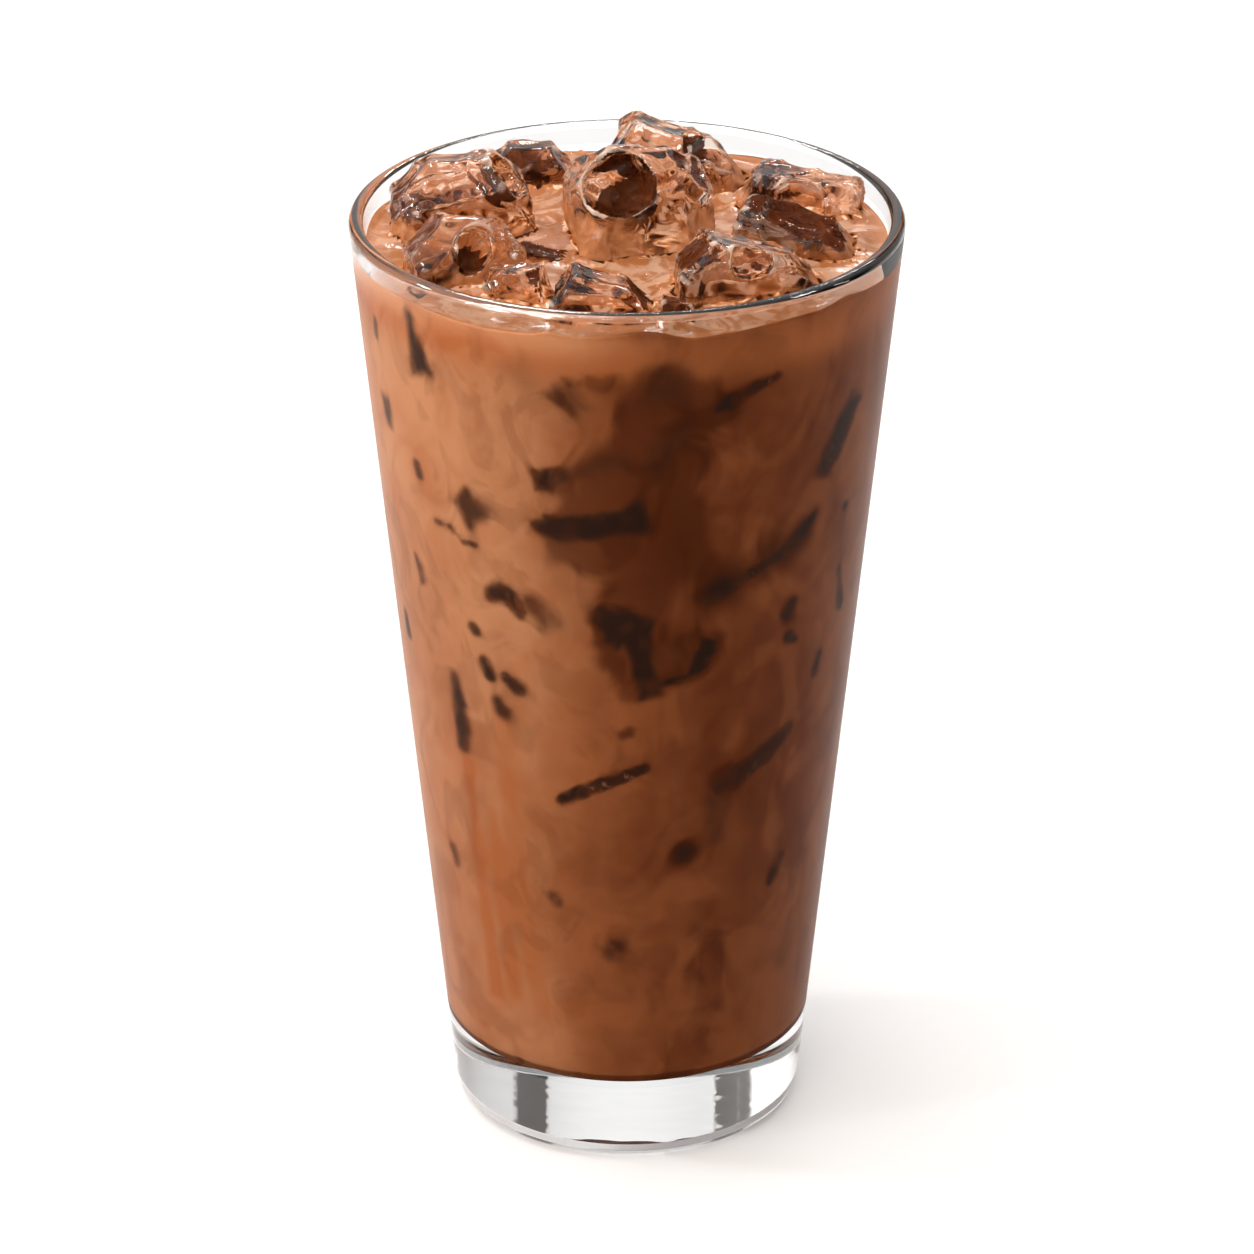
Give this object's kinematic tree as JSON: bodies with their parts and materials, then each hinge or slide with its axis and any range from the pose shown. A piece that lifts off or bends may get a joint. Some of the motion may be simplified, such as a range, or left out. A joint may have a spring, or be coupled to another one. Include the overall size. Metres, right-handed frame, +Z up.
{
  "type": "iced coffee",
  "caption": "Milky iced coffee in a tall tapered clear tumbler with a thick base, filled almost to the rim and heaped with clear melting ice.",
  "frame": {"origin": "centre of the foot ring, on the surface that the glass stands on", "axes": "+Z up along the glass's axis; -Y is the side of the glass that faces the viewer, +X is the viewer's right"},
  "size_m": [0.0892, 0.0892, 0.1685],
  "materials": {
    "glass": "clear polished soda glass",
    "coffee": "opaque milky liquid with a wet shine",
    "ice": "clear wet ice with melted edges"
  },
  "bodies": {
    "root": {"glass": "glass", "coffee": "coffee", "ice_middle": "ice", "ice_back_right": "ice", "ice_left": "ice", "ice_left_front": "ice", "ice_back_left": "ice", "ice_right_back": "ice", "ice_right": "ice", "ice_right_front": "ice", "ice_front": "ice", "ice_front_left": "ice", "ice_front_chip": "ice", "ice_inner_chip": "ice"}
  },
  "joints": []
}
